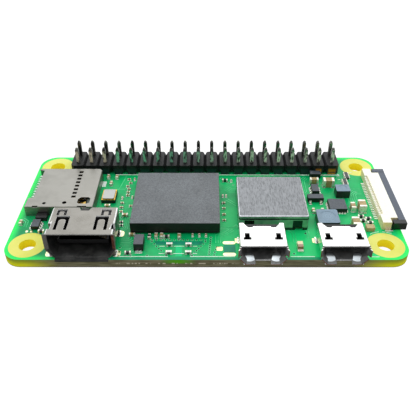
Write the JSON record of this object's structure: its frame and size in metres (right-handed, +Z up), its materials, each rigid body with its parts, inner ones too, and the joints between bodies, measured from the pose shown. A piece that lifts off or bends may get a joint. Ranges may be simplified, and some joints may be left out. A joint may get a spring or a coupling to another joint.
{
  "type": "single board computer",
  "caption": "Small single board computer with a pin header, display and USB ports, card socket and a camera connector whose latch slides out.",
  "frame": {"origin": "centre of the four mounting holes on the board's underside", "axes": "+X to the camera connector, +Y to the pin header, +Z up out of the component side"},
  "size_m": [0.0658, 0.0309, 0.008],
  "materials": {
    "circuit_board": "satin solder mask over glass fibre laminate",
    "black_plastic": "moulded, satin",
    "mould_compound": "fine grained",
    "inductor_body": "smooth",
    "pin_plating": "tin plated",
    "solder": "soft bright",
    "shell_metal": "stamped",
    "bright_shell": "stamped, bright",
    "can_metal": "brushed",
    "gold_contact": "gold plated",
    "ivory_plastic": "moulded",
    "latch_plastic": "moulded",
    "beige_ceramic": "smooth",
    "capacitor_ceramic": "smooth",
    "light_lens": "clear moulded"
  },
  "bodies": {
    "board": {"bare_pads": "solder", "camera_connector_anchors": "solder", "camera_connector_contacts": "pin_plating", "camera_connector_housing": "ivory_plastic", "capacitor_bodies": "capacitor_ceramic", "capacitor_terminals": "solder", "card_socket_base": "black_plastic", "card_socket_shell": "shell_metal", "card_socket_tails": "gold_contact", "circuit_board": "circuit_board", "crystal_base": "black_plastic", "crystal_lid": "can_metal", "crystal_rim": "gold_contact", "data_port_contacts": "gold_contact", "data_port_insulator": "black_plastic", "data_port_shell": "bright_shell", "diode_body": "mould_compound", "diode_terminals": "solder", "display_port_contacts": "gold_contact", "display_port_insulator": "black_plastic", "display_port_shell": "shell_metal", "ferrite_bead": "beige_ceramic", "header_body": "black_plastic", "header_pins": "pin_plating", "header_solder_joints": "solder", "inductor_large": "inductor_body", "inductor_medium": "inductor_body", "inductor_small": "inductor_body", "line_filter": "black_plastic", "port_solder_joints": "solder", "power_controller_body": "mould_compound", "power_controller_lands": "solder", "power_port_contacts": "gold_contact", "power_port_insulator": "black_plastic", "power_port_shell": "bright_shell", "power_switch_body": "black_plastic", "power_switch_leads": "solder", "processor_mould": "mould_compound", "processor_solder_balls": "solder", "processor_substrate": "black_plastic", "protection_chip_body": "black_plastic", "protection_chip_leads": "solder", "regulator_body": "black_plastic", "regulator_leads": "solder", "resistor_array_bodies": "black_plastic", "resistor_array_terminals": "solder", "resistor_bodies": "black_plastic", "resistor_terminals": "solder", "status_light_base": "ivory_plastic", "status_light_lens": "light_lens", "wireless_chip": "mould_compound", "wireless_module_substrate": "circuit_board", "wireless_shield_can": "can_metal"},
    "camera_latch": {"camera_connector_latch": "latch_plastic"},
    "card_contacts": {"card_contact_springs": "gold_contact"},
    "card_detect": {"card_detect_spring": "gold_contact"}
  },
  "joints": [
    {"name": "camera_latch_slide", "type": "slide", "parent": "board", "child": "camera_latch", "axis": [1, 0, 0], "range_m": [0, 0.001]},
    {"name": "card_contact_press", "type": "hinge", "parent": "board", "child": "card_contacts", "pos_m": [-0.02195, 0.0029, 0.00215], "axis": [0, -1, 0], "range_deg": [0, 6], "stiffness_Nm_per_rad": 0.12},
    {"name": "card_detect_press", "type": "hinge", "parent": "board", "child": "card_detect", "pos_m": [-0.02088, -0.0023, 0.00225], "axis": [0, -1, 0], "range_deg": [0, 8], "stiffness_Nm_per_rad": 0.0026}
  ]
}
